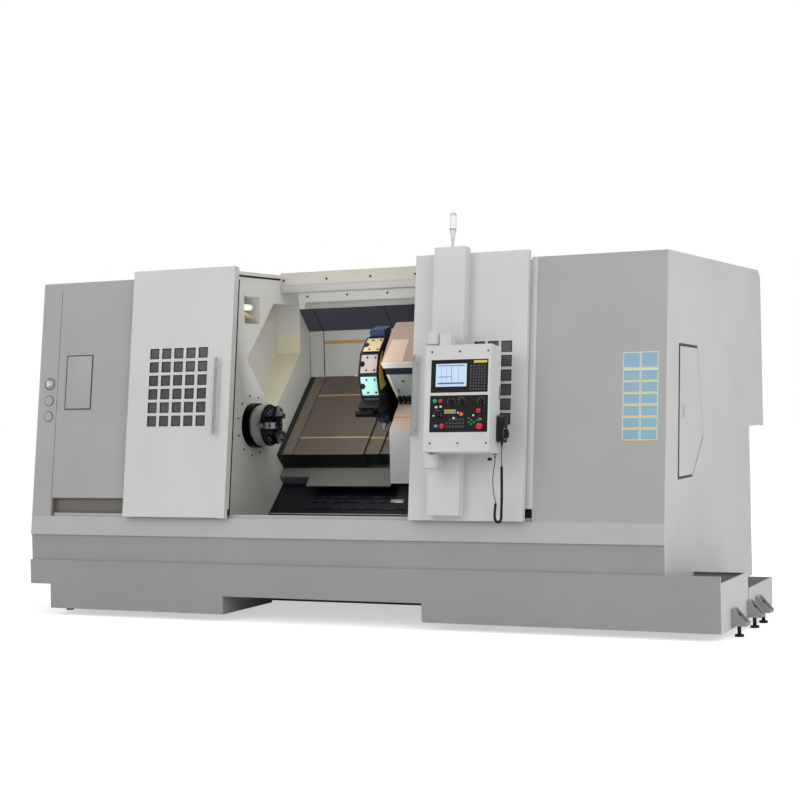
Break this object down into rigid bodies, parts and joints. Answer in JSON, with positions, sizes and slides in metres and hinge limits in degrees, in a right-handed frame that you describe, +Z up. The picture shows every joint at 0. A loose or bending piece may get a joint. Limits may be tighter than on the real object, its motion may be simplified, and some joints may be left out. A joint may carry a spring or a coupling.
{
  "type": "cnc turning lathe",
  "caption": "Large slant bed turning machine with sliding doors, a chuck, an indexing tool turret, a tailstock and a swinging operator's pendant.",
  "frame": {"origin": "middle of the machine's footprint on the floor", "axes": "+X to the operator's right along the spindle, +Y away from the operator, +Z up"},
  "size_m": [5.153, 2.9945, 2.7008],
  "materials": {
    "grey": "satin",
    "light": "satin",
    "cream": "satin",
    "cast": "painted",
    "black": "satin",
    "navy": "satin",
    "steel": "brushed",
    "chrome": "polished",
    "cover": "satin",
    "rubber": "matte",
    "plastic": "matte",
    "red": "gloss",
    "green": "gloss",
    "orange": "gloss",
    "beacon": "gloss",
    "aluminium": "satin"
  },
  "bodies": {
    "machine": {"coolant_tank": "grey", "foot_brackets": "cast", "levelling_bolts": "black", "slant_bed": "cast", "guide_rails": "steel", "headstock": "cast", "spindle_motor": "black", "drive_belt": "rubber", "front_sill": "grey", "left_cabinet": "grey", "inner_left_wall": "cream", "work_lamp": "aluminium", "right_cabinet": "grey", "header_beam": "cream", "rear_guard": "navy", "chip_tray": "navy", "fixed_way_covers": "cover", "z_feed_drive": "black", "corner_post": "light", "electrical_cabinet": "light", "drive_rack": "plastic", "switch_plate": "grey"},
    "spindle": {"spindle": "steel", "chuck_body": "chrome"},
    "jaw_1": {"chuck_jaw_1": "steel"},
    "jaw_2": {"chuck_jaw_2": "steel"},
    "jaw_3": {"chuck_jaw_3": "steel"},
    "motor_rotor": {"motor_pulley": "steel"},
    "z_screw": {"z_ball_screw": "steel"},
    "middle_covers": {"middle_way_covers": "cover"},
    "carriage": {"saddle": "cast", "saddle_guard": "light", "inner_way_covers": "cover"},
    "x_screw": {"x_ball_screw": "steel"},
    "cross_slide": {"cross_slide": "cast"},
    "turret": {"turret_disc": "steel", "tool_block": "black"},
    "tailstock": {"tailstock": "cast"},
    "quill": {"tailstock_quill": "steel"},
    "left_door": {"left_door": "light", "left_door_fittings": "steel"},
    "right_door": {"right_door": "light", "right_door_fittings": "steel", "pendant_column": "light", "beacon": "beacon"},
    "pendant": {"pendant": "light", "screen_unit": "plastic", "key_plate": "plastic", "hand_wheel_box": "plastic", "hand_wheel_cord": "rubber"},
    "start_button": {"start_button": "green"},
    "stop_button": {"stop_button": "red"},
    "feed_hold_button": {"feed_hold_button": "orange"},
    "emergency_stop": {"emergency_stop": "red"},
    "feed_knob": {"feed_knob": "plastic"},
    "spindle_knob": {"spindle_knob": "plastic"},
    "hand_wheel": {"hand_wheel": "plastic"},
    "side_hatch": {"side_hatch": "light"},
    "electrical_door": {"electrical_door": "light"},
    "main_switch": {"main_switch": "black"}
  },
  "joints": [
    {"name": "spindle_turn", "type": "hinge", "parent": "machine", "child": "spindle", "pos_m": [-1.0185, -0.661, 1.328], "axis": [1, 0, 0], "continuous": true},
    {"name": "jaw_1_slide", "type": "slide", "parent": "spindle", "child": "jaw_1", "axis": [0, -1, 0], "range_m": [-0.012, 0.005]},
    {"name": "jaw_2_slide", "type": "slide", "parent": "spindle", "child": "jaw_2", "axis": [0, 0.5, -0.866], "range_m": [-0.012, 0.005]},
    {"name": "jaw_3_slide", "type": "slide", "parent": "spindle", "child": "jaw_3", "axis": [0, 0.5, 0.866], "range_m": [-0.012, 0.005]},
    {"name": "motor_turn", "type": "hinge", "parent": "machine", "child": "motor_rotor", "pos_m": [-1.9765, 0.43998, 1.76902], "axis": [1, 0, 0], "continuous": true},
    {"name": "carriage_slide", "type": "slide", "parent": "machine", "child": "carriage", "axis": [1, 0, 0], "range_m": [-0.28, 0.42]},
    {"name": "z_screw_turn", "type": "hinge", "parent": "machine", "child": "z_screw", "pos_m": [-0.8765, 0.02136, 1.30325], "axis": [1, 0, 0], "range_deg": [-5100, 7600]},
    {"name": "middle_cover_slide", "type": "slide", "parent": "machine", "child": "middle_covers", "axis": [1, 0, 0], "range_m": [-0.14, 0.21]},
    {"name": "cross_slide_feed", "type": "slide", "parent": "carriage", "child": "cross_slide", "axis": [0, 0.7071, 0.7071], "range_m": [-0.12, 0.14]},
    {"name": "x_screw_turn", "type": "hinge", "parent": "carriage", "child": "x_screw", "pos_m": [0.2015, -0.36119, 1.18658], "axis": [0, 0.7071, 0.7071], "range_deg": [-2200, 2600]},
    {"name": "turret_index", "type": "hinge", "parent": "cross_slide", "child": "turret", "pos_m": [-0.1765, -0.32371, 1.66529], "axis": [1, 0, 0], "continuous": true},
    {"name": "tailstock_slide", "type": "slide", "parent": "machine", "child": "tailstock", "axis": [1, 0, 0], "range_m": [-0.42, 0]},
    {"name": "quill_slide", "type": "slide", "parent": "tailstock", "child": "quill", "axis": [1, 0, 0], "range_m": [-0.1, 0]},
    {"name": "left_door_slide", "type": "slide", "parent": "machine", "child": "left_door", "axis": [1, 0, 0], "range_m": [0, 0.66]},
    {"name": "right_door_slide", "type": "slide", "parent": "machine", "child": "right_door", "axis": [1, 0, 0], "range_m": [-0.64, 0]},
    {"name": "pendant_swing", "type": "hinge", "parent": "right_door", "child": "pendant", "pos_m": [0.6905, -1.39336, 1.15352], "axis": [0, 0.1305, 0.9914], "range_deg": [-95, 4]},
    {"name": "start_button_press", "type": "slide", "parent": "pendant", "child": "start_button", "axis": [0, 0.9914, -0.1305], "range_m": [0, 0.003], "stiffness_N_per_m": 300},
    {"name": "stop_button_press", "type": "slide", "parent": "pendant", "child": "stop_button", "axis": [0, 0.9914, -0.1305], "range_m": [0, 0.003], "stiffness_N_per_m": 300},
    {"name": "feed_hold_button_press", "type": "slide", "parent": "pendant", "child": "feed_hold_button", "axis": [0, 0.9914, -0.1305], "range_m": [0, 0.003], "stiffness_N_per_m": 300},
    {"name": "emergency_stop_press", "type": "slide", "parent": "pendant", "child": "emergency_stop", "axis": [0, 0.9914, -0.1305], "range_m": [0, 0.006], "stiffness_N_per_m": 800},
    {"name": "feed_knob_turn", "type": "hinge", "parent": "pendant", "child": "feed_knob", "pos_m": [0.8545, -1.43652, 1.47692], "axis": [0, 0.9914, -0.1305], "range_deg": [-135, 135]},
    {"name": "spindle_knob_turn", "type": "hinge", "parent": "pendant", "child": "spindle_knob", "pos_m": [0.9285, -1.43652, 1.47692], "axis": [0, 0.9914, -0.1305], "range_deg": [-135, 135]},
    {"name": "hand_wheel_turn", "type": "hinge", "parent": "pendant", "child": "hand_wheel", "pos_m": [1.1645, -1.3162, 1.26843], "axis": [1, 0, 0], "continuous": true},
    {"name": "side_hatch_swing", "type": "hinge", "parent": "machine", "child": "side_hatch", "pos_m": [2.1295, -0.25089, 1.21458], "axis": [0, -0.1581, 0.9874], "range_deg": [0, 100]},
    {"name": "electrical_door_swing", "type": "hinge", "parent": "machine", "child": "electrical_door", "pos_m": [2.1265, 1.494, 1.243], "axis": [0, 0, 1], "range_deg": [-110, 0]},
    {"name": "main_switch_turn", "type": "hinge", "parent": "machine", "child": "main_switch", "pos_m": [-2.4695, -1.0689, 1.65677], "axis": [0, 0.9914, -0.1305], "range_deg": [0, 90]}
  ],
  "couplings": [
    {"joint": "jaw_2_slide", "follows": "jaw_1_slide", "ratio": 1},
    {"joint": "jaw_3_slide", "follows": "jaw_1_slide", "ratio": 1},
    {"joint": "motor_turn", "follows": "spindle_turn", "ratio": 2},
    {"joint": "middle_cover_slide", "follows": "carriage_slide", "ratio": 0.5},
    {"joint": "z_screw_turn", "follows": "carriage_slide", "rad_per_m": 314.16},
    {"joint": "x_screw_turn", "follows": "cross_slide_feed", "rad_per_m": 314.16}
  ]
}
